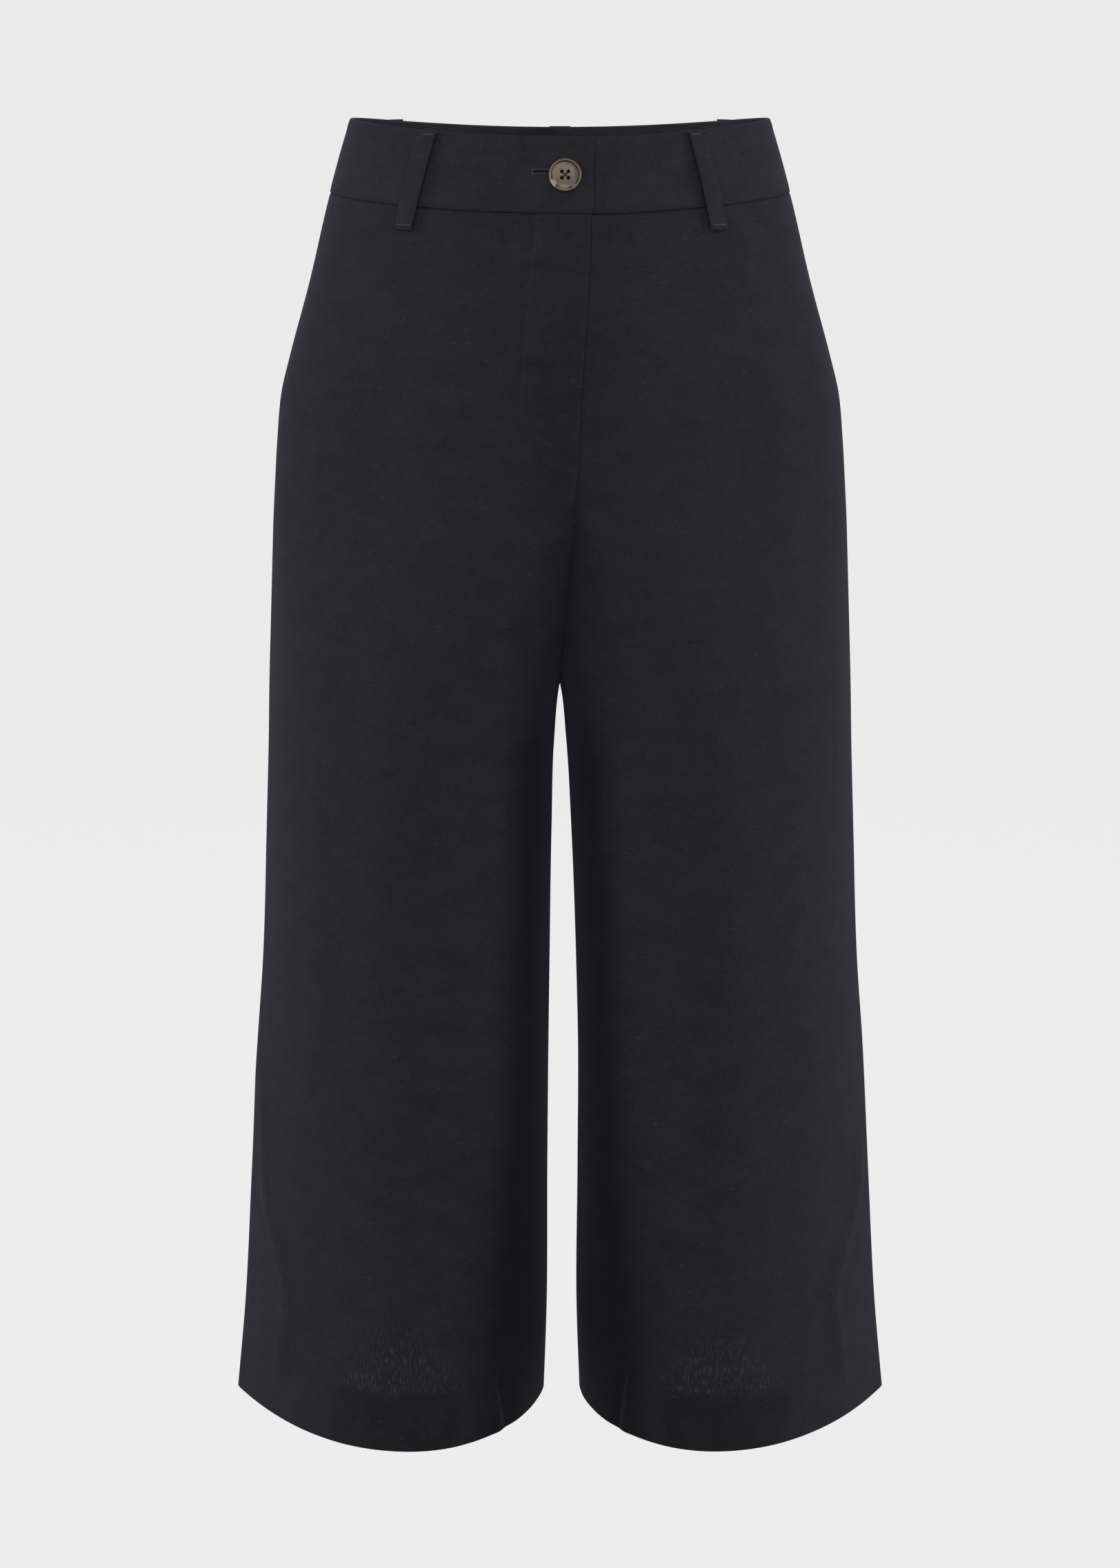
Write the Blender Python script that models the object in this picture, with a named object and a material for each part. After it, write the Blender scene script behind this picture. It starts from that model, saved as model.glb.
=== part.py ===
# Navy linen culottes, filled out as if worn, with nobody in them.
# Metres, +Z up. The front faces -Y, and the wearer's right side is at -X.
# The origin is the middle of the waist, and the garment hangs below it.

import bmesh
import bpy
import numpy as np

MM = 0.001

# Walls and gaps
CLOTH_WALL = 1.2 * MM
BAND_WALL = 2.0 * MM
BAND_PROUD = 0.4 * MM  # the waistband's outer face stands out of the panels' by this much
LOOP_WALL = 1.4 * MM
SEAM_GAP = 0.3 * MM

# Heights: the waist and its seam dip from the side seams to the centre front and back
WAIST_SIDE = 3.0 * MM
WAIST_DIP = 8.2 * MM
BAND_SEAM_SIDE = -41.0 * MM
BAND_SEAM_DIP = 7.9 * MM
DIP_ENDS = -150.0 * MM
CROTCH_START = -190.0 * MM  # the centre seams begin to run in between the legs
CROTCH = -340.0 * MM
HEM = -792.0 * MM
HEM_DEPTH = 35.0 * MM  # turned up inside, so the wall is double there
HEM_STEP = 0.8 * MM

# One row for each level, in millimetres. half_width is the centre line to the side seam, front and
# back are the depths of the two faces, and peak is the centre line to where the leg stands furthest
# forward. inseam is the centre line to the leg's innermost point, which lies past the centre line where
# the legs run into each other above the crotch. sway moves the inner half of both legs to the wearer's
# left. side_edge and inseam_edge go from 0, where the section is round at that seam, to 1, where its
# two faces meet there in a sharp edge. square goes from 0, where the leg's inner half is a plain arc, to
# 1, where it stays broad and turns in close to the inseam.
SECTION_COLUMNS = (
    "height", "half_width", "front", "back", "inseam", "peak", "sway", "side_edge", "inseam_edge",
    "square",
)
SECTIONS = (
    (-792, 204.4, 131.0, 130.0, 11.0, 92.0, 1.0, 0.68, 0.20, 0.0),
    (-740, 199.4, 129.0, 128.5, 9.2, 91.5, 1.0, 0.64, 0.20, 0.1),
    (-650, 194.0, 128.0, 127.0, 9.2, 91.5, 1.5, 0.60, 0.20, 0.6),
    (-564, 189.2, 128.0, 127.5, 9.0, 91.5, 2.0, 0.53, 0.18, 1.0),
    (-520, 185.8, 128.2, 128.0, 8.2, 91.0, 1.8, 0.49, 0.15, 1.0),
    (-432, 182.2, 128.6, 130.0, 6.0, 89.0, 0.9, 0.40, 0.09, 1.0),
    (-375, 180.2, 129.0, 133.0, 3.6, 83.0, 0.1, 0.31, 0.03, 0.9),
    (-340, 179.4, 129.0, 134.5, 0.0, 74.0, 0.0, 0.26, 0.0, 0.8),
    (-300, 178.0, 129.0, 136.5, -12.0, 57.0, 0.0, 0.21, 0.0, 0.5),
    (-260, 176.5, 129.0, 138.0, -27.0, 32.0, 0.0, 0.16, 0.0, 0.2),
    (-240, 175.7, 128.8, 138.7, -32.0, 18.5, 0.0, 0.14, 0.0, 0.1),
    (-215, 174.2, 128.5, 139.0, -32.0, 6.0, 0.0, 0.10, 0.0, 0.0),
    (-190, 172.6, 127.4, 138.2, -26.0, 0.0, 0.0, 0.08, 0.0, 0.0),
    (-160, 169.4, 126.0, 134.0, -20.0, 0.0, 0.0, 0.05, 0.0, 0.0),
    (-140, 164.4, 124.0, 130.0, -20.0, 0.0, 0.0, 0.03, 0.0, 0.0),
    (-95, 151.9, 117.0, 118.0, -20.0, 0.0, 0.0, 0.0, 0.0, 0.0),
    (-45, 139.8, 107.0, 105.0, -20.0, 0.0, 0.0, 0.0, 0.0, 0.0),
    (-20, 133.0, 102.0, 99.0, -20.0, 0.0, 0.0, 0.0, 0.0, 0.0),
    (5, 125.4, 97.0, 95.0, -20.0, 0.0, 0.0, 0.0, 0.0, 0.0),
)
SHARES = ("side_edge", "inseam_edge", "square")

# The fly laps to the wearer's left, so the front seam starts beside the centre line and runs back to it.
FLY_COLUMNS = ("height", "shift")
FLY = ((-340, 0.0), (-312, 0.8), (-290, 3.2), (-225, 9.2), (-160, 12.4), (-95, 16.5), (-50, 18.3), (5, 19.2))
FLY_FADE = 45.0 * MM  # how quickly the shift dies away from the seam
FLY_BOTTOM = -168.0 * MM
SHIELD_OVER = 12.0 * MM
SHIELD_UNDER = 26.0 * MM
SHIELD_CLEARANCE = 0.8 * MM
UNDERLAP = 34.0 * MM
LAP_OVER = 1.6 * MM  # the waistband's lapped end stands past the fly's edge

# Grids of a leg panel and of the waistband, whose lap has the same columns in both of its layers
BAND_COLUMNS = 10
LAP_COLUMNS = 5
PANEL_COLUMNS = 16
HIP_ROWS = 6
CROTCH_ROWS = 6
LEG_ROWS = 9

# Belt loops: name, then the angles of its top and its bottom round the waist, in degrees from the
# centre front and positive to the wearer's left
LOOPS = (
    ("belt_loop_front_right", -37.4, -39.7),
    ("belt_loop_front_left", 37.6, 40.0),
    ("belt_loop_back_right", -128.0, -126.0),
    ("belt_loop_back_left", 128.0, 126.0),
    ("belt_loop_back_centre", 180.0, 180.0),
)
LOOP_WIDTH = 11.6 * MM
LOOP_BOTTOM = -60.0 * MM
LOOP_CLEARANCE = BAND_PROUD + SEAM_GAP
LOOP_STAND = 1.6 * MM  # slack left for a belt at the loop's middle

# Button, 19 mm across with four holes
BUTTON_X = 3.0 * MM
BUTTON_Z = -27.0 * MM
BUTTON_RADIUS = 9.5 * MM
HOLE_PITCH = 3.7 * MM
HOLE_RADIUS = 1.1 * MM
BUTTON_PROFILE = (  # radius and height above the back, in millimetres
    (0.0, 2.2),
    (7.2, 2.5),
    (7.9, 2.1),
    (8.3, 2.7),
    (8.8, 3.1),
    (9.2, 2.8),
    (9.5, 1.9),
    (9.0, 0.8),
    (7.0, 0.1),
    (0.0, 0.0),
)
BUTTON_SEGMENTS = 40


def smooth_curve(at, table, columns, name):
    """Cubic curve through the table's rows for the named column, with slopes from their neighbours."""
    knots = np.array([row[0] for row in table]) * MM
    values = np.array([row[columns.index(name)] for row in table])
    slopes = np.gradient(values, knots)
    low = np.clip(np.searchsorted(knots, at) - 1, 0, len(knots) - 2)
    width = knots[low + 1] - knots[low]
    t = np.clip((at - knots[low]) / width, 0.0, 1.0)
    start = values[low] * (1 + 2 * t) * (1 - t) ** 2 + values[low + 1] * t**2 * (3 - 2 * t)
    return start + width * t * (1 - t) * (slopes[low] * (1 - t) - slopes[low + 1] * t)


def section(z, name):
    scale = 1.0 if name in SHARES else MM
    return smooth_curve(z, SECTIONS, SECTION_COLUMNS, name) * scale


def fly_shift(z):
    return smooth_curve(z, FLY, FLY_COLUMNS, "shift") * MM


def reach(angle, edge):
    """Share of the half width at an angle from the front: a sine, turned by edge into a straight ramp."""
    return (1 - edge) * np.sin(angle) + edge * angle / (np.pi / 2)


def leg_skin(across, z, side, back):
    """Outer face of a leg panel: across goes from the centre seam or inseam, 0, to the side seam, 1."""
    peak = section(z, "peak")
    lobe = peak - section(z, "inseam")
    inner = np.arcsin(np.clip(peak / lobe, 0.0, 1.0))  # where the legs meet, or the inseam below the crotch
    angle = across * (np.pi / 2 + inner) - inner
    outside = reach(np.maximum(angle, 0), section(z, "side_edge"))
    outward = peak + (section(z, "half_width") - peak) * outside
    inward = peak - lobe * reach(np.maximum(-angle, 0), section(z, "inseam_edge"))
    x = side * np.where(angle > 0, outward, inward) + section(z, "sway") * (1 - outside)
    bend = np.sin(np.minimum(angle, 0)) ** 2
    share = np.cos(angle) * (1 + section(z, "square") * (bend / 2 + 3 * bend**2 / 8))
    if back:
        return np.stack([x, section(z, "back") * share, z], -1)
    x = x + fly_shift(z) * np.exp(-((x / FLY_FADE) ** 2))
    return np.stack([x, -section(z, "front") * share, z], -1)


def waist_skin(turn, z):
    """Body face above the crotch: turn is the angle round it from the centre front to the wearer's left."""
    depth = np.where(np.cos(turn) > 0, section(z, "front"), section(z, "back"))
    x = section(z, "half_width") * np.sin(turn)
    lap = fly_shift(z) * np.exp(-((x / FLY_FADE) ** 2)) * (np.cos(turn) > 0)
    return np.stack([x + lap, -depth * np.cos(turn), z], -1)


def outward_normals(points, middle):
    """Unit normals of a grid of points, pointing away from the middle."""
    normals = np.cross(np.gradient(points, axis=1), np.gradient(points, axis=0))
    normals /= np.linalg.norm(normals, axis=-1, keepdims=True)
    return normals * np.sign(np.sum(normals * (points - middle)))


def keep_clear(points, side, back):
    """Stops a leg panel half a seam gap short of the planes in which it meets its neighbours."""
    half = SEAM_GAP / 2
    seam = 0.0 if back else fly_shift(points[..., 2])
    points[..., 0] = side * np.maximum(side * (points[..., 0] - seam), half) + seam
    points[..., 1] = np.maximum(points[..., 1], half) if back else np.minimum(points[..., 1], -half)
    return points


def linen(name, shade):
    material = bpy.data.materials.new(name)
    material.use_nodes = True
    shader = material.node_tree.nodes["Principled BSDF"]
    shader.inputs["Base Color"].default_value = (shade * 0.92, shade * 0.9, shade * 1.15, 1.0)
    shader.inputs["Roughness"].default_value = 0.85
    return material


def horn(name):
    material = bpy.data.materials.new(name)
    material.use_nodes = True
    shader = material.node_tree.nodes["Principled BSDF"]
    shader.inputs["Base Color"].default_value = (0.13, 0.09, 0.065, 1.0)
    shader.inputs["Roughness"].default_value = 0.3
    return material


def add_object(name, points, faces, material):
    mesh = bpy.data.meshes.new(name)
    mesh.from_pydata([tuple(point) for point in points], [], faces)
    shape = bmesh.new()
    shape.from_mesh(mesh)
    bmesh.ops.recalc_face_normals(shape, faces=shape.faces)
    shape.to_mesh(mesh)
    shape.free()
    mesh.shade_smooth()
    mesh.set_sharp_from_angle(angle=np.radians(40))
    mesh.materials.append(material)
    part = bpy.data.objects.new(name, mesh)
    bpy.context.scene.collection.objects.link(part)
    return part


def add_wall(name, outer, inner, material):
    """Closes two matching grids of points into one wall, with a strip of faces along each edge."""
    rows, columns = outer.shape[:2]
    front = np.arange(rows * columns).reshape(rows, columns)
    back = front + rows * columns
    faces = []
    for grid in (front, back):
        cells = np.stack([grid[:-1, :-1], grid[:-1, 1:], grid[1:, 1:], grid[1:, :-1]], -1)
        faces += cells.reshape(-1, 4).tolist()
    for edge in ((0, slice(None)), (-1, slice(None)), (slice(None), 0), (slice(None), -1)):
        near, far = front[edge], back[edge]
        faces += np.stack([near[:-1], near[1:], far[1:], far[:-1]], -1).tolist()
    return add_object(name, np.concatenate([outer, inner]).reshape(-1, 3), faces, material)


def panel_heights():
    """Rows of a leg panel: even to the hips, closing up round the crotch curve, then even to the hem."""
    hips = np.linspace(BAND_SEAM_SIDE, CROTCH_START, HIP_ROWS + 1)
    quarter = np.linspace(0.0, np.pi / 2, CROTCH_ROWS + 1)[1:]
    curve = CROTCH_START + (CROTCH - CROTCH_START) * np.sin(quarter)
    fold = HEM + HEM_DEPTH
    leg = np.linspace(CROTCH, fold + HEM_STEP, LEG_ROWS + 1)[1:]
    return np.concatenate([hips, curve, leg, [fold, (fold + HEM) / 2, HEM]])


def add_leg_panel(name, side, back, material):
    heights = panel_heights()
    across, z = np.meshgrid(np.linspace(0.0, 1.0, PANEL_COLUMNS + 1), heights)
    dip = BAND_SEAM_DIP * np.cos(across * np.pi / 2) ** 2
    top = np.clip((z - DIP_ENDS) / (BAND_SEAM_SIDE - DIP_ENDS), 0.0, 1.0)
    outer = leg_skin(across, z - (dip + SEAM_GAP / 2) * top, side, back)
    wall = CLOTH_WALL * np.where(z < HEM + HEM_DEPTH + HEM_STEP / 2, 2.0, 1.0)[..., None]
    normals = outward_normals(outer, np.array([side * section(CROTCH, "peak"), 0.0, CROTCH]))
    inner = outer - normals * wall
    add_wall(name, keep_clear(outer, side, back), keep_clear(inner, side, back), material)


def band_height(turn, down):
    """Height on the waistband: down goes from its top edge, 0, to its seam, 1."""
    dip = np.cos(turn) ** 2
    top = WAIST_SIDE - WAIST_DIP * dip
    return top + (BAND_SEAM_SIDE - BAND_SEAM_DIP * dip + SEAM_GAP / 2 - top) * down


def band_grid(turns, rows=4):
    turn, down = np.meshgrid(turns, np.linspace(0.0, 1.0, rows))
    return waist_skin(turn, band_height(turn, down))


def add_band(name, turns, material, tucked=0):
    """A waistband piece over these turns. Its first columns, tucked, lie behind the piece that laps them."""
    skin = band_grid(turns)
    normals = outward_normals(skin, np.array([0.0, 0.0, BAND_SEAM_SIDE]))
    depth = np.full(len(turns), BAND_PROUD)
    depth[:tucked] -= BAND_WALL + SEAM_GAP
    outer = skin + normals * depth[:, None]
    inner = outer - normals * BAND_WALL
    for points in (outer, inner):
        depths = np.abs(points[..., 1])
        points[..., 1] = np.maximum(depths, SEAM_GAP / 2) * (-1 if "front" in name else 1)
    add_wall(name, outer, inner, material)


def add_fly_shield(material):
    """The strip behind the fly: it bridges the front edges, a gap inside both panels."""
    turn, down = np.meshgrid(np.linspace(-SHIELD_UNDER, SHIELD_OVER, 5), np.linspace(0.0, 1.0, 8))
    top = BAND_SEAM_SIDE - BAND_SEAM_DIP - SEAM_GAP
    z = top + (FLY_BOTTOM - top) * down
    skin = waist_skin(np.arcsin(turn / section(z, "half_width")), z)
    normals = outward_normals(skin, np.array([0.0, 0.0, FLY_BOTTOM]))
    outer = skin - normals * (CLOTH_WALL + SHIELD_CLEARANCE)
    add_wall("fly_shield", outer, outer - normals * CLOTH_WALL, material)


def add_belt_loop(name, top_angle, bottom_angle, material):
    """A strap laid down the waistband: its ends lie on the cloth and its middle stands a little off it."""
    down = np.linspace(0.0, 1.0, 10)
    turn = np.radians(top_angle + (bottom_angle - top_angle) * down)
    top = band_height(turn[0], 0.0)
    z = top + (LOOP_BOTTOM - top) * down
    radius = np.hypot(section(z, "half_width"), section(z, "front")) / np.sqrt(2)
    across, spread = np.meshgrid([-0.5, 0.0, 0.5], LOOP_WIDTH / radius)
    skin = waist_skin(turn[:, None] + across * spread, np.repeat(z[:, None], 3, axis=1))
    normals = outward_normals(skin, np.array([0.0, 0.0, LOOP_BOTTOM]))
    stand = LOOP_CLEARANCE + LOOP_STAND * np.sin(np.pi * down) ** 0.6
    inner = skin + normals * stand[:, None, None]
    add_wall(name, inner + normals * LOOP_WALL, inner, material)


def add_button(material):
    """A turned disc with a raised rim, drilled by four pins, leaning with the waistband it lies on."""
    turns = np.linspace(0.0, 2 * np.pi, BUTTON_SEGMENTS, endpoint=False)
    profile = np.array(BUTTON_PROFILE) * MM
    rings = profile[1:-1]
    radius, height = rings[:, :1], rings[:, 1:] + 0 * turns
    points = np.stack([radius * np.cos(turns), radius * np.sin(turns), height], -1).reshape(-1, 3)
    points = np.concatenate([points, [(0, 0, profile[0, 1]), (0, 0, profile[-1, 1])]])
    ids = np.arange(rings.shape[0] * BUTTON_SEGMENTS).reshape(-1, BUTTON_SEGMENTS)
    after = np.roll(ids, -1, axis=1)
    faces = np.stack([ids[:-1], ids[1:], after[1:], after[:-1]], -1).reshape(-1, 4).tolist()
    face_centre, back_centre = len(points) - 2, len(points) - 1
    faces += [[face_centre, near, far] for near, far in zip(ids[0], after[0])]
    faces += [[back_centre, far, near] for near, far in zip(ids[-1], after[-1])]
    button = add_object("button", points, faces, material)

    depth = section(BUTTON_Z, "front")
    lean = np.arctan2(section(BUTTON_Z, "front") - section(0.0, "front"), -BUTTON_Z)
    for row in (-0.5, 0.5):
        for column in (-0.5, 0.5):
            place = (column * HOLE_PITCH, row * HOLE_PITCH, 0.0)
            bpy.ops.mesh.primitive_cylinder_add(vertices=14, radius=HOLE_RADIUS, depth=0.02, location=place)
            pin = bpy.context.object
            pin.name = f"pin_{row}_{column}"
            pin.hide_render = True
            pin.display_type = "WIRE"
            pin.parent = button
            cut = button.modifiers.new(pin.name, "BOOLEAN")
            cut.operation = "DIFFERENCE"
            cut.object = pin
    back = depth + BAND_PROUD + SEAM_GAP * 2
    button.location = (BUTTON_X, -back, BUTTON_Z)
    button.rotation_euler = (np.pi / 2 - lean, 0.0, 0.0)


def build():
    for old in list(bpy.data.objects):
        bpy.data.objects.remove(old)
    panel_cloth = linen("linen_navy", 0.02)
    band_cloth = linen("linen_navy_band", 0.023)

    for side, hand in ((-1, "right"), (1, "left")):
        add_leg_panel(f"front_{hand}", side, False, panel_cloth)
        add_leg_panel(f"back_{hand}", side, True, panel_cloth)

    quarter = np.pi / 2
    half_gap = SEAM_GAP / 2 / section(0.0, "half_width")
    under = UNDERLAP / section(0.0, "half_width")
    over = LAP_OVER / section(0.0, "half_width")
    lap = np.linspace(-under, over - half_gap, LAP_COLUMNS)
    right = np.concatenate([np.linspace(-quarter + half_gap, -under, BAND_COLUMNS)[:-1], lap])
    left = np.concatenate([lap, np.linspace(over + half_gap * 2, quarter - half_gap, BAND_COLUMNS)])
    add_band("waistband_front_right", right, band_cloth)
    add_band("waistband_front_left", left, band_cloth, tucked=LAP_COLUMNS)
    add_band("waistband_back", np.linspace(quarter + half_gap, 3 * quarter - half_gap, 19), band_cloth)
    add_fly_shield(panel_cloth)
    for name, top_angle, bottom_angle in LOOPS:
        add_belt_loop(name, top_angle, bottom_angle, band_cloth)
    add_button(horn("horn_brown"))


build()
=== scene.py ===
# Navy linen culottes, filled out as if worn: the looks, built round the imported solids.
# Metres, +Z up. The front faces -Y, the wearer's right is at -X, and the waist is at the origin.

import bmesh
import bpy
import numpy as np
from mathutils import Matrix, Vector


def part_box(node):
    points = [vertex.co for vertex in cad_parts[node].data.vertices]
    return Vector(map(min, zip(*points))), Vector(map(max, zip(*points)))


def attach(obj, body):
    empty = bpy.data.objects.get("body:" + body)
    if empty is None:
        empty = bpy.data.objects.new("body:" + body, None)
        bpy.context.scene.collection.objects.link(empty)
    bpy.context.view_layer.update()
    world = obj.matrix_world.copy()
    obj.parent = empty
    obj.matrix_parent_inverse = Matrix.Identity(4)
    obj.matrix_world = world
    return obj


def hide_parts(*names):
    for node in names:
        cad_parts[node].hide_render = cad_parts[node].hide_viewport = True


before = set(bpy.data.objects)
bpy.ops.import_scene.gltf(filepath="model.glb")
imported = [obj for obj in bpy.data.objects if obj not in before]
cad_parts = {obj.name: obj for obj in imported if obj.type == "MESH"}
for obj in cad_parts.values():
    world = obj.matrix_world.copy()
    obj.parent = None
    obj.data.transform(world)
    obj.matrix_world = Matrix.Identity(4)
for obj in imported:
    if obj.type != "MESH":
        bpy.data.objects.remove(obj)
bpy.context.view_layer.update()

mm = 0.001

# The form that the solids have, a row for each level, in millimetres: centre line to side seam, depth of
# the front and of the back, centre line to the leg's innermost point (past the centre line where the legs
# run together), centre line to the leg's foremost point, how far the inner halves move to the wearer's
# left, then from 0 to 1 how sharp the section is at its side seam and at its inseam, and how broad its
# inner half stays before it turns in to the inseam.
garment = {
    "columns": ("height", "halfWidth", "front", "back", "inseam", "peak", "sway", "sideEdge", "inseamEdge",
                "square"),
    "rows": (
        (-792, 204.4, 131.0, 130.0, 11.0, 92.0, 1.0, 0.68, 0.20, 0.0),
        (-740, 199.4, 129.0, 128.5, 9.2, 91.5, 1.0, 0.64, 0.20, 0.1),
        (-650, 194.0, 128.0, 127.0, 9.2, 91.5, 1.5, 0.60, 0.20, 0.6),
        (-564, 189.2, 128.0, 127.5, 9.0, 91.5, 2.0, 0.53, 0.18, 1.0),
        (-520, 185.8, 128.2, 128.0, 8.2, 91.0, 1.8, 0.49, 0.15, 1.0),
        (-432, 182.2, 128.6, 130.0, 6.0, 89.0, 0.9, 0.40, 0.09, 1.0),
        (-375, 180.2, 129.0, 133.0, 3.6, 83.0, 0.1, 0.31, 0.03, 0.9),
        (-340, 179.4, 129.0, 134.5, 0.0, 74.0, 0.0, 0.26, 0.0, 0.8),
        (-300, 178.0, 129.0, 136.5, -12.0, 57.0, 0.0, 0.21, 0.0, 0.5),
        (-260, 176.5, 129.0, 138.0, -27.0, 32.0, 0.0, 0.16, 0.0, 0.2),
        (-240, 175.7, 128.8, 138.7, -32.0, 18.5, 0.0, 0.14, 0.0, 0.1),
        (-215, 174.2, 128.5, 139.0, -32.0, 6.0, 0.0, 0.10, 0.0, 0.0),
        (-190, 172.6, 127.4, 138.2, -26.0, 0.0, 0.0, 0.08, 0.0, 0.0),
        (-160, 169.4, 126.0, 134.0, -20.0, 0.0, 0.0, 0.05, 0.0, 0.0),
        (-140, 164.4, 124.0, 130.0, -20.0, 0.0, 0.0, 0.03, 0.0, 0.0),
        (-95, 151.9, 117.0, 118.0, -20.0, 0.0, 0.0, 0.0, 0.0, 0.0),
        (-45, 139.8, 107.0, 105.0, -20.0, 0.0, 0.0, 0.0, 0.0, 0.0),
        (-20, 133.0, 102.0, 99.0, -20.0, 0.0, 0.0, 0.0, 0.0, 0.0),
        (5, 125.4, 97.0, 95.0, -20.0, 0.0, 0.0, 0.0, 0.0, 0.0),
    ),
    "shares": ("sideEdge", "inseamEdge", "square"),
    "waistSide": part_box("waistband_back")[1].z,    # height of the waist edge at the side seams
    "waistDip": 8.2 * mm,                          # how much lower it is at the centre front and back
    "seamSide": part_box("back_right")[1].z,         # the same for the waist seam
    "seamDip": 7.9 * mm,
    "dipEnds": -150.0 * mm,
    "crotchStart": -190.0 * mm,
    "crotch": -340.0 * mm,
    "hem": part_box("front_right")[0].z,
    "visibleGap": 0.0,                             # sewn edges touch
}

# The fly laps to the wearer's left, so the front seam starts beside the centre line and runs back to it.
fly = {
    "columns": ("height", "shift"),
    "rows": ((-340, 0.0), (-312, 0.8), (-290, 3.2), (-225, 9.2), (-160, 12.4), (-95, 16.5), (-50, 18.3),
             (5, 19.2)),
    "fade": 45.0 * mm,
    "raise": 0.75 * mm,     # it stands out by its extra layers
    "ends": -205.0 * mm,
    "stitching": ((-15, -49), (-18, -80), (-20.4, -108), (-23, -142), (-23.8, -160), (-21, -176), (-14, -189),
                  (-5, -197), (6, -200.5)),
}


def hermite(t, width, start, end, startSlope, endSlope):
    # cubic over a width: s (1 + 2t)(1 - t)^2 + e t^2 (3 - 2t) + width t (1 - t)(s' (1 - t) - e' t)
    curve = start * (1 + 2 * t) * (1 - t) ** 2 + end * t**2 * (3 - 2 * t)
    return curve + width * t * (1 - t) * (startSlope * (1 - t) - endSlope * t)


def smoothCurve(at, table, columns, name):
    # cubic through the rows, each row's slope taken from its neighbours
    knots = np.array([row[0] for row in table]) * mm
    values = np.array([row[columns.index(name)] for row in table], float)
    slopes = np.gradient(values, knots)
    low = np.clip(np.searchsorted(knots, at) - 1, 0, len(knots) - 2)
    width = knots[low + 1] - knots[low]
    t = np.clip((at - knots[low]) / width, 0.0, 1.0)
    return hermite(t, width, values[low], values[low + 1], slopes[low], slopes[low + 1])


def smoothPath(points, count):
    # the same cubic through (x, height) points in millimetres
    points = np.array(points, float) * mm
    slopes = np.gradient(points, axis=0)
    at = np.linspace(0, len(points) - 1, count)
    low = np.minimum(at.astype(int), len(points) - 2)
    t = (at - low)[:, None]
    return hermite(t, 1.0, points[low], points[low + 1], slopes[low], slopes[low + 1])


def section(z, name):
    value = smoothCurve(z, garment["rows"], garment["columns"], name)
    return value if name in garment["shares"] else value * mm


def flyShift(z):
    return smoothCurve(z, fly["rows"], fly["columns"], "shift") * mm


def step(value, low, high):
    # smooth rise from 0 at low to 1 at high: 3t^2 - 2t^3
    t = np.clip((value - low) / (high - low), 0.0, 1.0)
    return t * t * (3 - 2 * t)


def bump(value, centre, width):
    # bell: e^-((value - centre) / width)^2
    return np.exp(-(((value - centre) / width) ** 2))


def window(value, opens, opened, closes, closed):
    # 0, then 1 between opened and closes, then 0 again
    return step(value, opens, opened) * (1 - step(value, closes, closed))


def reach(angle, edge):
    # share of the half width at an angle from the front: a sine, turned by edge into a straight ramp
    return (1 - edge) * np.sin(angle) + edge * angle / (np.pi / 2)


def legSkin(across, z, side, back):
    # x = peak + (half width - peak) reach(angle) outside the foremost point, peak - lobe reach(-angle) inside
    # it; y = depth cos(angle), times 1 + square (sin^2 / 2 + 3 sin^4 / 8) inside, which keeps it deep.
    # across goes from the centre seam or inseam, 0, to the side seam, 1.
    peak = section(z, "peak")
    lobe = peak - section(z, "inseam")
    inner = np.arcsin(np.clip(peak / lobe, 0.0, 1.0))
    angle = across * (np.pi / 2 + inner) - inner
    outside = reach(np.maximum(angle, 0), section(z, "sideEdge"))
    outward = peak + (section(z, "halfWidth") - peak) * outside
    inward = peak - lobe * reach(np.maximum(-angle, 0), section(z, "inseamEdge"))
    x = side * np.where(angle > 0, outward, inward) + section(z, "sway") * (1 - outside)
    bend = np.sin(np.minimum(angle, 0)) ** 2
    share = np.cos(angle) * (1 + section(z, "square") * (bend / 2 + 3 * bend**2 / 8))
    if back:
        return np.stack([x, section(z, "back") * share, z], -1)
    x = x + flyShift(z) * np.exp(-((x / fly["fade"]) ** 2))
    return np.stack([x, -section(z, "front") * share, z], -1)


def waistSkin(turn, z):
    # an ellipse in each level: (half width sin turn, -depth cos turn), turn from the centre front
    depth = np.where(np.cos(turn) > 0, section(z, "front"), section(z, "back"))
    x = section(z, "halfWidth") * np.sin(turn)
    lap = flyShift(z) * np.exp(-((x / fly["fade"]) ** 2)) * (np.cos(turn) > 0)
    return np.stack([x + lap, -depth * np.cos(turn), z], -1)


def outwardNormals(points, middle):
    # unit cross product of the grid's two directions, turned away from the middle
    normals = np.cross(np.gradient(points, axis=1), np.gradient(points, axis=0))
    normals /= np.maximum(np.linalg.norm(normals, axis=-1, keepdims=True), 1e-12)
    return normals * np.sign(np.sum(normals * (points - middle)))


def arcLength(points, axis):
    # running length along the grid, from its first row or column
    steps = np.linalg.norm(np.diff(points, axis=axis), axis=-1)
    pad = ((1, 0), (0, 0)) if axis == 0 else ((0, 0), (1, 0))
    return np.cumsum(np.pad(steps, pad), axis=axis)


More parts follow.
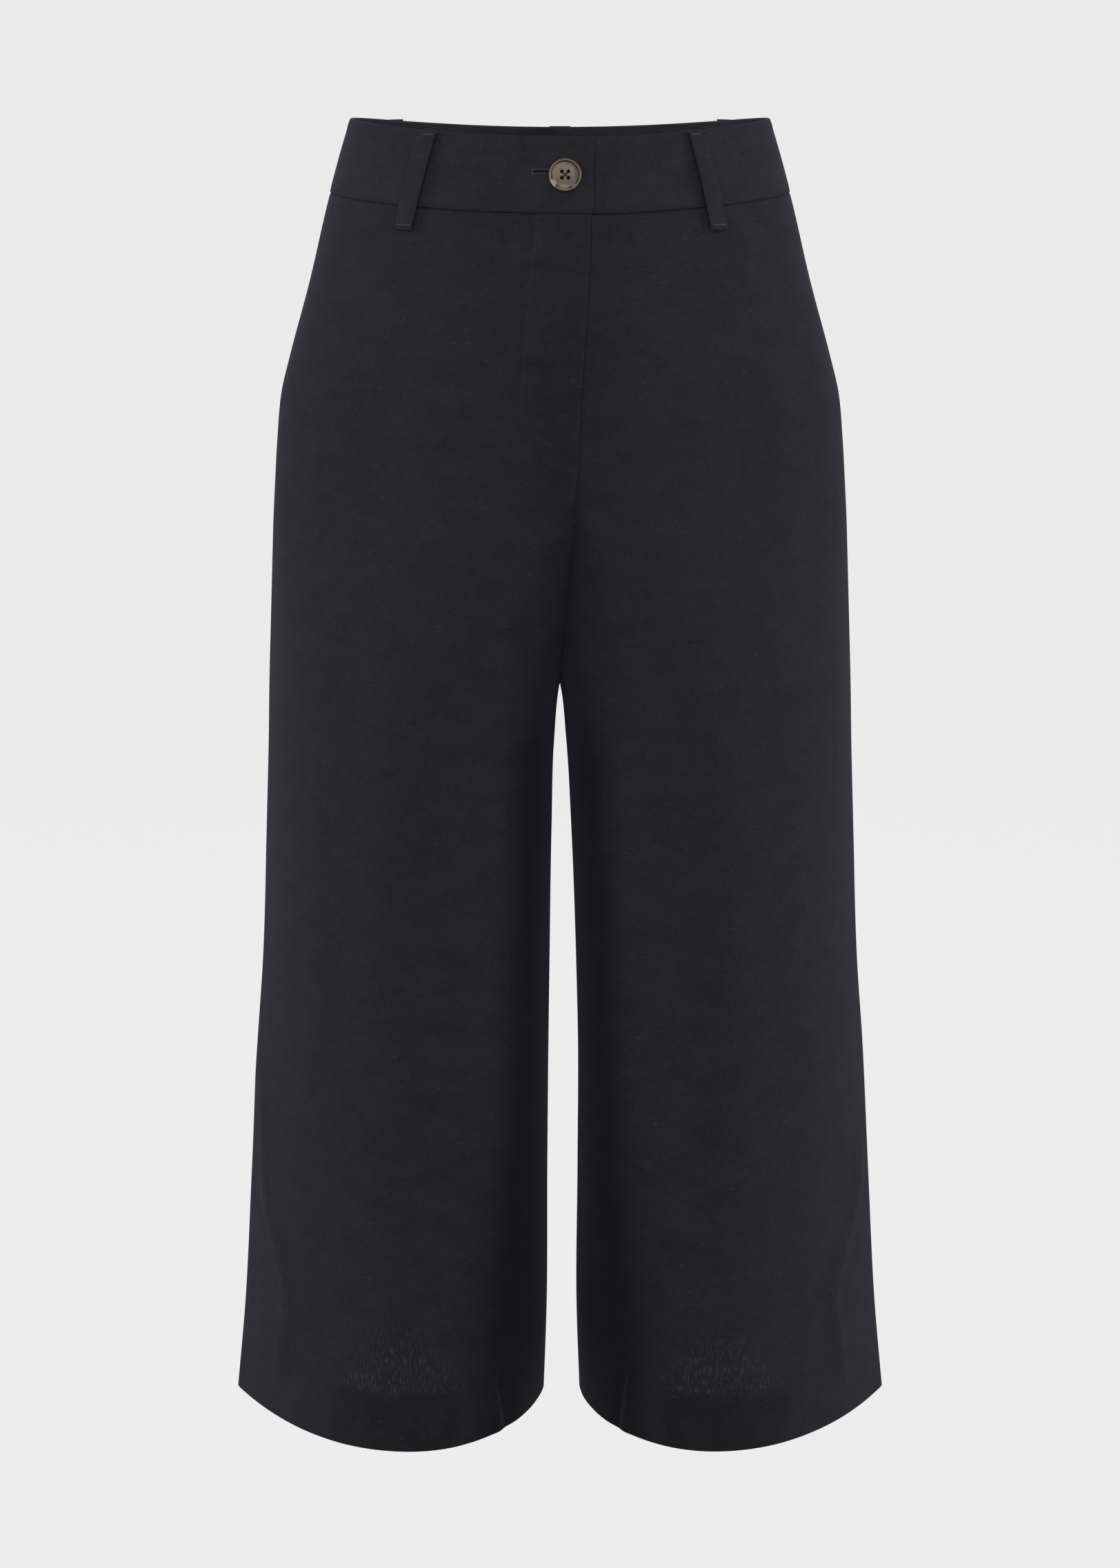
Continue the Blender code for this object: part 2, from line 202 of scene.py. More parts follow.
# Soft troughs (depth below 0) and ridges (above 0), all in millimetres: depth, width and a short path of
# (x, height) points on its face, along which the fold fades out at both ends.
folds = {
    "front": (
        # the drape line that turns in towards each hem, a soft swell with a crisp crest
        (1.3, 12, ((-187, -535), (-185, -640), (-180, -680), (-172, -712), (-176, -752), (-184, -788))),
        (1.7, 3.4, ((-185, -552), (-182, -644), (-179, -666), (-172, -688), (-167, -712), (-173, -757),
                    (-180, -786))),
        (1.2, 12, ((189, -590), (187, -650), (181, -690), (173, -716), (176, -752), (184, -788))),
        (1.6, 3.4, ((187, -610), (185, -650), (181, -668), (173, -692), (167, -712), (173, -757),
                    (180, -786))),
        # small creases by the inner corner of each hem
        (-1.8, 2.8, ((-39, -748), (-36, -764), (-33, -780), (-31, -797))),
        (1.2, 3.0, ((-43, -752), (-40, -770), (-37, -797))),
        (-1.8, 2.8, ((40, -746), (37, -762), (35, -780), (34, -797))),
        (1.2, 3.0, ((45, -750), (42, -770), (39, -797))),
        # strains from the waistband's lap
        (-2.0, 4.5, ((-36, -67), (-25, -64), (-13, -68))),
        (-1.8, 4.5, ((20, -63), (29, -66), (44, -63))),
        (1.1, 4.0, ((-32, -78), (-14, -75), (6, -77))),
        (-0.9, 1.8, ((-15, -54), (-14, -62), (-13, -70))),
        # short puckers across the fly
        (-1.1, 2.0, ((-25, -104), (-17, -103), (-10, -105))),
        (1.1, 2.2, ((-24, -131), (-17, -130), (-8, -132))),
        (-1.6, 2.4, ((-27, -137), (-16, -137), (0, -138))),
        (1.2, 2.4, ((-24, -146), (-17, -147), (-9, -146))),
        (-1.0, 2.6, ((-12, -166), (-4, -165), (5, -167))),
        (-1.3, 1.5, ((-7, -199), (0, -200), (9, -200.5))),
        (-1.6, 7.0, ((-16, -186), (-3, -193), (10, -190))),
        # long, slack falls down each leg
        (-2.2, 24, ((-120, -260), (-128, -420), (-124, -600))),
        (0.9, 22, ((-66, -330), (-62, -470), (-65, -700))),
        (-2.0, 24, ((122, -270), (130, -430), (125, -610))),
        (1.0, 22, ((66, -340), (61, -480), (64, -690))),
        (-1.6, 13, ((-92, -120), (-104, -170), (-108, -235))),
        (-1.5, 14, ((88, -125), (101, -180), (110, -240))),
        (1.2, 12, ((-60, -215), (-84, -245), (-116, -262))),
        (1.2, 12, ((58, -222), (86, -250), (120, -270))),
    ),
    "back": (
        (1.3, 12, ((-187, -545), (-183, -650), (-172, -705), (-174, -745), (-182, -788))),
        (0.9, 3.4, ((-186, -560), (-182, -655), (-171, -702), (-169, -742), (-179, -787))),
        (1.3, 12, ((187, -540), (182, -655), (172, -708), (173, -748), (182, -788))),
        (0.9, 3.4, ((186, -556), (181, -658), (170, -705), (170, -748), (180, -787))),
        (-1.0, 2.8, ((-41, -744), (-37, -765), (-33, -797))),
        (-0.9, 2.8, ((39, -748), (36, -768), (34, -797))),
        # falls from the seat, and drags towards the crotch
        (-2.2, 18, ((-58, -250), (-74, -330), (-82, -480), (-84, -640))),
        (-2.0, 19, ((60, -255), (72, -340), (84, -500), (82, -660))),
        (1.8, 24, ((-128, -290), (-126, -450), (-122, -640))),
        (1.9, 23, ((126, -280), (130, -440), (120, -650))),
        (-1.2, 8, ((-16, -262), (-44, -288), (-82, -298))),
        (-1.1, 9, ((16, -266), (42, -294), (84, -306))),
        (0.8, 7, ((-20, -284), (-48, -312), (-84, -326))),
        (0.8, 7, ((18, -288), (46, -318), (80, -334))),
        # the dart under each half of the back waistband
        (-0.8, 1.5, ((-62, -44), (-65, -72), (-68, -100), (-70, -126))),
        (-0.8, 1.5, ((62, -44), (65, -72), (68, -100), (70, -126))),
        (0.5, 9, ((-70, -118), (-73, -135), (-76, -160))),
        (0.5, 9, ((70, -118), (73, -135), (76, -160))),
    ),
    "bandFront": (
        # drawn towards the buttonhole
        (0.9, 2.6, ((-52, -8), (-36, -10), (-22, -14), (-13, -20))),
        (-1.0, 2.0, ((-48, -15), (-32, -17), (-20, -20), (-14, -23))),
        (0.8, 1.7, ((-38, -19), (-27, -20.5), (-16, -23.5))),
        (-0.9, 1.8, ((-24, -11), (-16, -15), (-11, -19))),
        (-0.7, 1.6, ((-30, -27), (-23, -27.5), (-15, -27))),
        (-1.7, 5.5, ((-84, -33), (-58, -30), (-30, -29), (-14, -30))),
        (1.0, 4.5, ((-78, -17), (-62, -20), (-44, -24))),
        (0.8, 3.5, ((-70, -40), (-48, -39), (-26, -41))),
        (-0.8, 2.2, ((12, -10), (15, -14), (14, -18))),
        (-1.5, 5.5, ((30, -31), (52, -28), (84, -32))),
        (1.0, 4.5, ((26, -15), (50, -17), (74, -13))),
        (-0.8, 3.0, ((-112, -12), (-104, -22), (-106, -36))),
        (-0.8, 3.0, ((110, -10), (104, -24), (107, -36))),
    ),
    "bandBack": (
        (-1.3, 6.0, ((-92, -28), (-60, -25), (-20, -29))),
        (0.9, 4.5, ((-70, -12), (-36, -15), (4, -11))),
        (-1.2, 6.0, ((16, -27), (56, -31), (90, -26))),
        (-0.8, 2.6, ((-106, -8), (-99, -22), (-101, -36))),
        (-0.8, 2.6, ((108, -10), (100, -24), (102, -36))),
    ),
}


def nearPath(x, z, path):
    # distance to the path, share of the way along it, and which side: positive on the left, looking down it
    runs = np.cumsum(np.r_[0, np.linalg.norm(np.diff(path, axis=0), axis=1)])
    nearest = np.full(x.shape, 10.0)
    share = np.zeros(x.shape)
    hand = np.zeros(x.shape)
    for start, end, run in zip(path[:-1], path[1:], runs[:-1]):
        along = end - start
        length = np.linalg.norm(along)
        t = np.clip(((x - start[0]) * along[0] + (z - start[1]) * along[1]) / length**2, 0, 1)
        offX, offZ = x - start[0] - t * along[0], z - start[1] - t * along[1]
        away = np.hypot(offX, offZ)
        closer = away < nearest
        share = np.where(closer, (run + t * length) / runs[-1], share)
        hand = np.where(closer, np.sign(along[0] * offZ - along[1] * offX), hand)
        nearest = np.where(closer, away, nearest)
    return nearest, share, hand


def foldHeight(x, z, face, side=0):
    # sum of depth e^-(distance / width)^2 over the face's folds, or over those on one side of it
    total = np.zeros(x.shape)
    for depth, width, points in folds[face]:
        if side and np.sign(points[0][0]) != side and abs(points[0][0]) > 20:
            continue
        away, share, _ = nearPath(x, z, smoothPath(points, 14))
        fade = step(share, 0.0, 0.25) * step(1 - share, 0.0, 0.2)
        total += depth * mm * np.exp(-((away / (width * mm)) ** 2)) * fade
    return total


def slack(x, y, z):
    # long slow waves of worn cloth, taller than they are wide, and faint small dents among them
    around = np.arctan2(y, np.abs(x) - 95 * mm) * 90 * mm * np.sign(x)
    total = np.zeros(x.shape)
    for wide, tall, phase, share in ((61, 240, 0.4, 0.28), (97, 170, 2.1, 0.33), (43, 330, 4.4, 0.16),
                                     (17, 41, 1.3, 0.035), (23, 29, 3.9, 0.035), (12, 19, 0.2, 0.02)):
        wave = share * np.sin(around / (wide * mm) * 2 + phase)
        total += wave * np.sin(z / (tall * mm) * 2 * np.pi + phase * 1.7)
    return total * mm * step(-z, 60 * mm, 200 * mm)


print("form ready")


def addMesh(name, points, faces, uv=None, fields=None):
    mesh = bpy.data.meshes.new(name)
    mesh.from_pydata(np.asarray(points).reshape(-1, 3), [], faces)
    shape = bmesh.new()
    shape.from_mesh(mesh)
    bmesh.ops.recalc_face_normals(shape, faces=shape.faces)
    shape.to_mesh(mesh)
    shape.free()
    if uv is not None:
        layer = mesh.uv_layers.new(name="cloth")
        corners = np.empty(len(mesh.loops), np.int32)
        mesh.loops.foreach_get("vertex_index", corners)
        layer.data.foreach_set("uv", np.asarray(uv, np.float32).reshape(-1, 2)[corners].ravel())
    for key, values in (fields or {}).items():
        layer = mesh.attributes.new(key, "FLOAT", "POINT")
        layer.data.foreach_set("value", np.asarray(values, np.float32).ravel())
    mesh.shade_smooth()
    piece = bpy.data.objects.new(name, mesh)
    bpy.context.scene.collection.objects.link(piece)
    return piece


def gridFaces(ids):
    return np.stack([ids[:-1, :-1], ids[:-1, 1:], ids[1:, 1:], ids[1:, :-1]], -1).reshape(-1, 4).tolist()


def addWall(name, outer, inner, uv, fields=None, insidePaintedLight=1.0):
    # two matching grids closed into one shell by a strip of faces along each edge
    front = np.arange(outer.shape[0] * outer.shape[1]).reshape(outer.shape[:2])
    back = front + front.size
    faces = gridFaces(front) + gridFaces(back)
    for edge in ((0, slice(None)), (-1, slice(None)), (slice(None), 0), (slice(None), -1)):
        near, far = front[edge], back[edge]
        faces += np.stack([near[:-1], near[1:], far[1:], far[:-1]], -1).tolist()
    # the inner grid may be painted paler, as painted light
    both = {}
    for key, values in (fields or {}).items():
        both[key] = np.concatenate([values, values * (insidePaintedLight if key == "paintedShading" else 1.0)])
    return addMesh(name, np.concatenate([outer, inner]), faces, np.concatenate([uv, uv]), both)


def finishPiece(piece, material, node=None):
    piece.data.materials.append(material)
    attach(piece, "root")
    if node:
        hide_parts(node)
    return piece


def makeSurface(u, v, points, middle):
    # a finished grid that stitches can be laid on: u along its columns, v along its rows
    return {"u": u, "v": v, "points": points, "normals": outwardNormals(points, middle)}


def onSurface(surface, u, v):
    # bilinear: weights of the four grid points round (u, v)
    i = np.clip(np.searchsorted(surface["u"], u) - 1, 0, len(surface["u"]) - 2)
    j = np.clip(np.searchsorted(surface["v"], v) - 1, 0, len(surface["v"]) - 2)
    s = ((u - surface["u"][i]) / (surface["u"][i + 1] - surface["u"][i]))[:, None]
    t = ((v - surface["v"][j]) / (surface["v"][j + 1] - surface["v"][j]))[:, None]
    found = []
    for grid in (surface["points"], surface["normals"]):
        low = grid[j, i] * (1 - s) + grid[j, i + 1] * s
        found.append(low * (1 - t) + (grid[j + 1, i] * (1 - s) + grid[j + 1, i + 1] * s) * t)
    return found


def acrossAt(surface, x, v, side):
    # halves the range of u until the surface's x is the wanted one
    low, high = np.zeros(len(x)), np.ones(len(x))
    for _ in range(30):
        middle = (low + high) / 2
        beyond = side * (onSurface(surface, middle, v)[0][:, 0] - x) > 0
        low, high = np.where(beyond, low, middle), np.where(beyond, middle, high)
    return (low + high) / 2


def stitchesAlong(surface, u, v, pitch, share):
    # a path on a surface cut into stitches, each covering a share of the pitch
    points = onSurface(surface, u, v)[0]
    run = np.r_[0, np.cumsum(np.linalg.norm(np.diff(points, axis=0), axis=1))]
    first = np.arange(0, run[-1] - pitch, pitch)
    starts, middles, ends = (
        onSurface(surface, np.interp(first + shift, run, u), np.interp(first + shift, run, v))
        for shift in (0, pitch * share / 2, pitch * share)
    )
    return starts[0], ends[0], middles[1]


stitches = {
    # the thread's thickness, and how far it arches out of the cloth
    "bartack": (0.42 * mm, 0.3 * mm),
    "buttonhole": (0.44 * mm, 0.3 * mm),
    "edge": (0.4 * mm, 0.2 * mm),
    "fly": (0.36 * mm, 0.05 * mm),
    "edgePitch": 1.9 * mm,
    "flyPitch": 2.5 * mm,
    "share": 0.7,           # of the pitch that a stitch covers
}


def addStitches(name, rows, thick, rise, material, slotName):
    # each stitch is a thin tube: start + t (end - start) + normal rise sin(pi t), narrower at its two ends
    starts, ends, normals = (np.concatenate(parts) for parts in zip(*rows))
    t = np.linspace(0, 1, 5)
    turn = np.linspace(0, 2 * np.pi, 5, endpoint=False)
    run = ends - starts
    aside = np.cross(run, normals)
    aside /= np.linalg.norm(aside, axis=1, keepdims=True)
    arch = normals[:, None] * (rise * np.sin(np.pi * t))[:, None]
    middle = starts[:, None] + run[:, None] * t[:, None] + arch
    radius = thick / 2 * (0.45 + 0.55 * np.sin(np.pi * t) ** 0.5)
    ring = aside[:, None] * np.cos(turn)[:, None] + normals[:, None] * np.sin(turn)[:, None]
    points = middle[:, :, None] + ring[:, None] * radius[:, None, None]
    ids = np.arange(points[..., 0].size).reshape(points.shape[:3])
    after = np.roll(ids, -1, axis=2)
    faces = np.stack([ids[:, :-1], ids[:, 1:], after[:, 1:], after[:, :-1]], -1).reshape(-1, 4).tolist()
    faces += ids[:, 0].tolist() + ids[:, -1].tolist()
    return finishPiece(addMesh(name, points, faces), material)


def linear(hexColour):
    # sRGB hex to linear light: ((c + 0.055) / 1.055)^2.4 above the toe
    parts = [int(hexColour[i : i + 2], 16) / 255 for i in (0, 2, 4)]
    return tuple(c / 12.92 if c < 0.04045 else ((c + 0.055) / 1.055) ** 2.4 for c in parts) + (1.0,)


def addNode(tree, kind, inputs=None, **settings):
    # one node with its settings; inputs are values or output sockets, in order or by name
    node = tree.nodes.new(kind)
    for name, value in settings.items():
        setattr(node, name, value)
    named = inputs.items() if isinstance(inputs, dict) else enumerate(inputs or ())
    for name, value in named:
        if isinstance(value, bpy.types.NodeSocket):
            tree.links.new(value, node.inputs[name])
        else:
            node.inputs[name].default_value = value
    return node


def newMaterial(name, colour, roughness, ior):
    material = bpy.data.materials.new(name)
    material.use_nodes = True
    shader = material.node_tree.nodes["Principled BSDF"]
    shader.inputs["Base Color"].default_value = linear(colour)
    shader.inputs["Roughness"].default_value = roughness
    shader.inputs["IOR"].default_value = ior
    return material, material.node_tree, shader


linen = {
    "navy": "28272d",       # piece-dyed flax, a navy so deep that it reads as warm black
    "bandNavy": "2a292f",
    "rim": "d3cff2",        # what the fuzz adds to its rim
    "roughness": 0.92,
    "gloss": 0.04,          # loose fibres scatter nearly all of it away
    "sheen": 0.07,
    "bumpDepth": 0.12 * mm,
    # millimetres from one to the next across and up the cloth, detail and phase; the threads are drawn
    # twice as far apart as the real 0.4 mm, so that they show
    "noises": {
        "warp": (0.8, 7.2, 1.0, 0.0),
        "weft": (7.2, 0.8, 1.0, 7.3),
        "slubsUp": (1.0, 15.0, 2.0, 3.1),       # thick places in the yarn
        "slubsAcross": (15.0, 1.0, 2.0, 5.7),
        "neps": (4.5, 1.0, 0.0, 4.4),           # short knots that take the light
        "cloud": (24.0, 15.0, 3.0, 1.9),        # uneven dye and light rubbing
        "patch": (1.0, 6.0, 1.0, 9.2),          # painted light: flecks above the hem, where light shows through the open weave
    },
    # what is worked out, how, and from which two: first the height of the yarns
    "relief": (
        ("weave", "ADD", "warp", "weft"),
        ("slubs", "MAXIMUM", "slubsUp", "slubsAcross"),
        ("relief", "ADD", "weave", "slubs"),
    ),
    # from a low and high value to what each does to the colour, and then the colour itself
    "levels": {
        "weave": (0.75, 1.25, 0.9, 1.1),
        "cloud": (0.36, 0.64, 0.93, 1.07),
        "slubs": (0.64, 0.8, 0.0, 0.3),
        "neps": (0.76, 0.86, 0.0, 0.7),
        "patch": (0.54, 0.68, -0.04, 0.85),
    },
    "shade": (
        ("shade", "MULTIPLY", "weave", "cloud"),
        # painted shade and painted light, carried on the mesh as an attribute
        ("shade", "MULTIPLY", "shade", "paintedShading"),
        ("shade", "ADD", "shade", "slubs"),
        ("shade", "ADD", "shade", "neps"),
        # painted light: flecks above the hem, where light shows through the weave
        ("paintedLightFlecks", "MULTIPLY", "patch", "paintedLightMask"),
        ("shade", "ADD", "shade", "paintedLightFlecks"),
    ),
}


def linenCloth(name, colour):
    # Plain-weave linen, piece dyed: matt, faintly streaked along both threads, with a fuzz that pales its rim
    material, tree, shader = newMaterial(name, colour, linen["roughness"], 1.47)
    uv = addNode(tree, "ShaderNodeUVMap", uv_map="cloth").outputs["UV"]
    found = {}
    for key, (across, up, detail, phase) in linen["noises"].items():
        place = addNode(tree, "ShaderNodeMapping", {"Vector": uv, "Location": (phase, phase, 0.0),
                                                    "Scale": (1000 / across, 1000 / up, 1.0)})
        noise = {"Vector": place.outputs["Vector"], "Scale": 1.0, "Detail": detail, "Roughness": 0.6}
        found[key] = addNode(tree, "ShaderNodeTexNoise", noise).outputs["Fac"]
    # the painted shade and painted light that each mesh carries, and the mask of its painted flecks of light
    for key in ("paintedShading", "paintedLightMask"):
        found[key] = addNode(tree, "ShaderNodeAttribute", attribute_name=key).outputs["Fac"]

    for key, operation, first, second in linen["relief"]:
        pair = (found[first], found[second])
        found[key] = addNode(tree, "ShaderNodeMath", pair, operation=operation).outputs[0]
    for key, limits in linen["levels"].items():
        found[key] = addNode(tree, "ShaderNodeMapRange", (found[key], *limits)).outputs["Result"]
    for key, operation, first, second in linen["shade"]:
        pair = (found[first], found[second])
        found[key] = addNode(tree, "ShaderNodeMath", pair, operation=operation).outputs[0]
    scaled = {0: linear(colour)[:3], "Scale": found["shade"]}
    dyed = addNode(tree, "ShaderNodeVectorMath", scaled, operation="SCALE")
    tree.links.new(dyed.outputs["Vector"], shader.inputs["Base Color"])
    raised = {"Height": found["relief"], "Strength": 0.5, "Distance": linen["bumpDepth"]}
    tree.links.new(addNode(tree, "ShaderNodeBump", raised).outputs["Normal"], shader.inputs["Normal"])
    shader.inputs["Specular IOR Level"].default_value = linen["gloss"]
    shader.inputs["Sheen Weight"].default_value = linen["sheen"]
    shader.inputs["Sheen Roughness"].default_value = 0.4
    shader.inputs["Sheen Tint"].default_value = linear(linen["rim"])
    return material


def sewingThread(name, colour):
    # Spun polyester sewing thread: dyed to the cloth, but smoother, so each stitch takes a small light
    material, tree, shader = newMaterial(name, colour, 0.5, 1.54)
    place = addNode(tree, "ShaderNodeTexCoord").outputs["Object"]
    twist = addNode(tree, "ShaderNodeTexNoise", {"Vector": place, "Scale": 2500.0, "Detail": 1.0})
    raised = {"Height": twist.outputs["Fac"], "Strength": 0.3, "Distance": 0.05 * mm}
    tree.links.new(addNode(tree, "ShaderNodeBump", raised).outputs["Normal"], shader.inputs["Normal"])
    shader.inputs["Specular IOR Level"].default_value = 0.15
    return material


horn = {
    "centre": (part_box("button")[0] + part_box("button")[1]) / 2,
    "base": "483629",
    "grain": 2.4,           # mm between streaks
    "waver": 9.0 * mm,      # how far the streaks carry the paler field up and down
    # laid over the base in turn: what each is measured by, or the (x, height) spot that it is measured from,
    # in millimetres; where it begins and where it is whole; its colour
    "layers": (
        ("height", 2.0, 6.5, "6a5336"),
        ("streaks", 0.58, 0.76, "7e6d50"),
        # painted shadow down the button's side towards +X
        ("side", 4.8, 5.8, "38332b"),
        ((-1.5, -1.5), 7.9, 8.8, "1f1a17"),     # painted shade in the groove inside the rim, deepest towards the top and +X
        ((0.0, 0.0), 8.0, 8.4, "705d47"),       # the rim
        ((-7.6, -5.0), 3.0, 1.6, "ab9b84"),     # an ivory patch on it, and two faint ones
        ((5.6, -6.8), 2.2, 1.0, "7a6c5c"),
        ((-1.0, -8.8), 4.5, 2.0, "7d6c4c"),
    ),
}


def hornButton(name):
    # Horn, cut and polished: a soft gloss over cloudy streaks, olive above and brown below, ivory at the rim,
    # with painted shadow down one side and painted shade in the groove
    material, tree, shader = newMaterial(name, horn["base"], 0.34, 1.55)
    place = addNode(tree, "ShaderNodeTexCoord").outputs["Object"]
    centre = tuple(horn["centre"])
    local = addNode(tree, "ShaderNodeVectorMath", (place, centre), operation="SUBTRACT").outputs[0]
    flat = addNode(tree, "ShaderNodeVectorMath", (local, (1.0, 0.0, 1.0)), operation="MULTIPLY").outputs[0]
    grain = addNode(tree, "ShaderNodeMapping", {"Vector": local, "Rotation": (0.0, 0.35, 0.0),
                                                "Scale": (1000 / horn["grain"], 300.0, 400 / horn["grain"])})
    noise = {"Vector": grain.outputs["Vector"], "Scale": 1.0, "Detail": 4.0, "Distortion": 0.9}
    streaks = addNode(tree, "ShaderNodeTexNoise", noise).outputs["Fac"]
    split = addNode(tree, "ShaderNodeSeparateXYZ", (local,)).outputs
    waver = addNode(tree, "ShaderNodeMath", (streaks, horn["waver"], split["Z"]), operation="MULTIPLY_ADD")
    measures = {"height": waver.outputs[0], "streaks": streaks, "side": split["X"]}
    colour = linear(horn["base"])
    for measure, begins, whole, layer in horn["layers"]:
        unit = 1.0 if measure == "streaks" else mm
        if measure in measures:
            value = measures[measure]
        else:
            spot = (measure[0] * mm, 0.0, measure[1] * mm)
            value = addNode(tree, "ShaderNodeVectorMath", (flat, spot), operation="DISTANCE").outputs["Value"]
        limits = (value, begins * unit, whole * unit)
        share = addNode(tree, "ShaderNodeMapRange", limits, interpolation_type="SMOOTHSTEP").outputs["Result"]
        blend = {0: share, 6: colour, 7: linear(layer)}
        colour = addNode(tree, "ShaderNodeMix", blend, data_type="RGBA", clamp_factor=True).outputs[2]
    tree.links.new(colour, shader.inputs["Base Color"])
    shader.inputs["Specular IOR Level"].default_value = 0.35
    shader.inputs["Coat Weight"].default_value = 0.1
    shader.inputs["Coat Roughness"].default_value = 0.2
    return material


clothMaterial = linenCloth("Linen_plain_weave_navy", linen["navy"])
bandMaterial = linenCloth("Linen_interfaced_navy", linen["bandNavy"])
threadMaterial = sewingThread("Polyester_thread_navy", "2b2a32")
tackMaterial = sewingThread("Polyester_thread_bartack", "3a3942")
# a near-black sheet of painted shadow, laid in the buttonhole's slit
paintedSlitShadowMaterial = newMaterial("Linen_painted_shadow_black", "15141a", 0.95, 1.47)[0]
paintedSlitShadowMaterial.node_tree.nodes["Principled BSDF"].inputs["Specular IOR Level"].default_value = 0.0
flyThreadMaterial = sewingThread("Polyester_thread_dark_navy", "1d1c22")
buttonThreadMaterial = sewingThread("Polyester_thread_brown", "3a2f2a")
hornMaterial = hornButton("Horn_polished_brown")
print("materials ready")


panel = {
    "wall": 0.9 * mm,
    "hemWall": 2.2 * mm,
    "hemDepth": 35.0 * mm,
    "hemShows": {"front": (54, 68, 130, 150), "back": (46, 62, 128, 150)},  # mm from the centre line
    "hemPaintedShade": 0.78,        # painted shade: two layers let no light through
    "paintedHollowShade": 0.14,         # painted shade: how much darker the front is where it falls in between the legs
    "seamShade": 0.3,       # painted shade: how much darker a seam's edges are, where the cloth turns in
    "inseamShade": 0.42,    # painted shade on the inner side of each leg, where the other leg shades it
    "inseamWidth": (98.0 * mm, 134.0 * mm),
    "seamRoll": 0.45 * mm,  # how far the cloth rolls in at a seam
    "seamWidth": 1.8 * mm,
    "closeColumns": (0.0, 0.0015, 0.0035, 0.006, 0.009, 0.013, 0.018),
}


def panelRows():
    # close rows at the hips, even round the crotch and down the leg, closer at the hem fold and its edge
    g = garment
    top = np.linspace(g["seamSide"], g["crotchStart"] - 16 * mm, 100)
    quarter = np.linspace(0.0, np.pi / 2, 44)[1:]
    curve = top[-1] + (g["crotch"] - top[-1]) * np.sin(quarter)
    fold = g["hem"] + panel["hemDepth"]
    leg = np.linspace(g["crotch"], fold + 3 * mm, 116)[1:]
    turn = fold + np.array([2.0, 1.2, 0.6, 0.2, -0.2, -0.8, -2.0]) * mm
    band = np.linspace(fold - 4 * mm, g["hem"] + 2 * mm, 12)
    edge = g["hem"] + np.array([1.5, 1.0, 0.6, 0.3, 0.12, 0.03, 0.0]) * mm
    return np.concatenate([top, curve, leg, turn, band, edge])


def panelColumns(face):
    # close columns over the fly in front and over the dart behind
    close = np.array(panel["closeColumns"])
    if face == "front":
        middle = [np.linspace(0.024, 0.26, 52), np.linspace(0.27, 0.976, 66)]
    else:
        middle = [np.linspace(0.024, 0.25, 22), np.linspace(0.258, 0.325, 22), np.linspace(0.335, 0.976, 62)]
    return np.concatenate([close, *middle, 1 - close[::-1]])


def keepClear(points, side, back):
    # stops at the planes where the panel meets its neighbours, with its whole centre edge flat against them
    half = garment["visibleGap"] / 2
    seam = 0.0 if back else flyShift(points[..., 2])
    above = points[..., 2] > garment["crotch"]
    away = np.maximum(side * (points[..., 0] - seam), half)
    away[:, 0] = half
    points[..., 0] = np.where(above, side * away + seam, points[..., 0])
    points[..., 1] = np.maximum(points[..., 1], half) if back else np.minimum(points[..., 1], -half)
    return points


def flyLift(x, z, width, side):
    # right front: the raised fly, a groove under its stitching and a rounded edge
    # left front: sunk a little under the lap
    edge = step(z, fly["ends"] - 18 * mm, fly["ends"])
    if side > 0:
        return -0.35 * mm * bump(width, 0.0, 7 * mm) * edge
    away, _, hand = nearPath(x, z, smoothPath(fly["stitching"], 40))
    inside = step(away * hand, -0.8 * mm, 1.4 * mm)
    rounded = 0.45 * mm * bump(width, 0.0, 0.9 * mm) * edge
    return fly["raise"] * inside - 0.5 * mm * bump(away, 0.0, 1.1 * mm) - rounded


def hemFields(x, z, face):
    # painted shade: darker over the turned-up hem and in the hollow over the fly
    # painted light: pale flecks above the hem, where light shows through the single layer's open weave,
    # tallest half way across the leg
    hemLine = garment["hem"] + panel["hemDepth"]
    shows = window(np.abs(x), *(value * mm for value in panel["hemShows"][face]))
    paintedShading = 1 - (1 - panel["hemPaintedShade"]) * shows * step(hemLine - z, -0.4 * mm, 0.8 * mm)
    paintedHollowShade = window(-z, 70 * mm, 150 * mm, 235 * mm, 300 * mm) * bump(x, 2 * mm, 24 * mm) * (face == "front")
    paintedShading = paintedShading * (1 - panel["paintedHollowShade"] * paintedHollowShade)
    tall = 58 * mm * np.clip(1 - ((np.abs(x) - 98 * mm) / (46 * mm)) ** 2, 0, 1)
    paintedLightMask = step(tall - (z - hemLine), 0.0, 40 * mm) * (z > hemLine)
    return shows, paintedShading, paintedLightMask


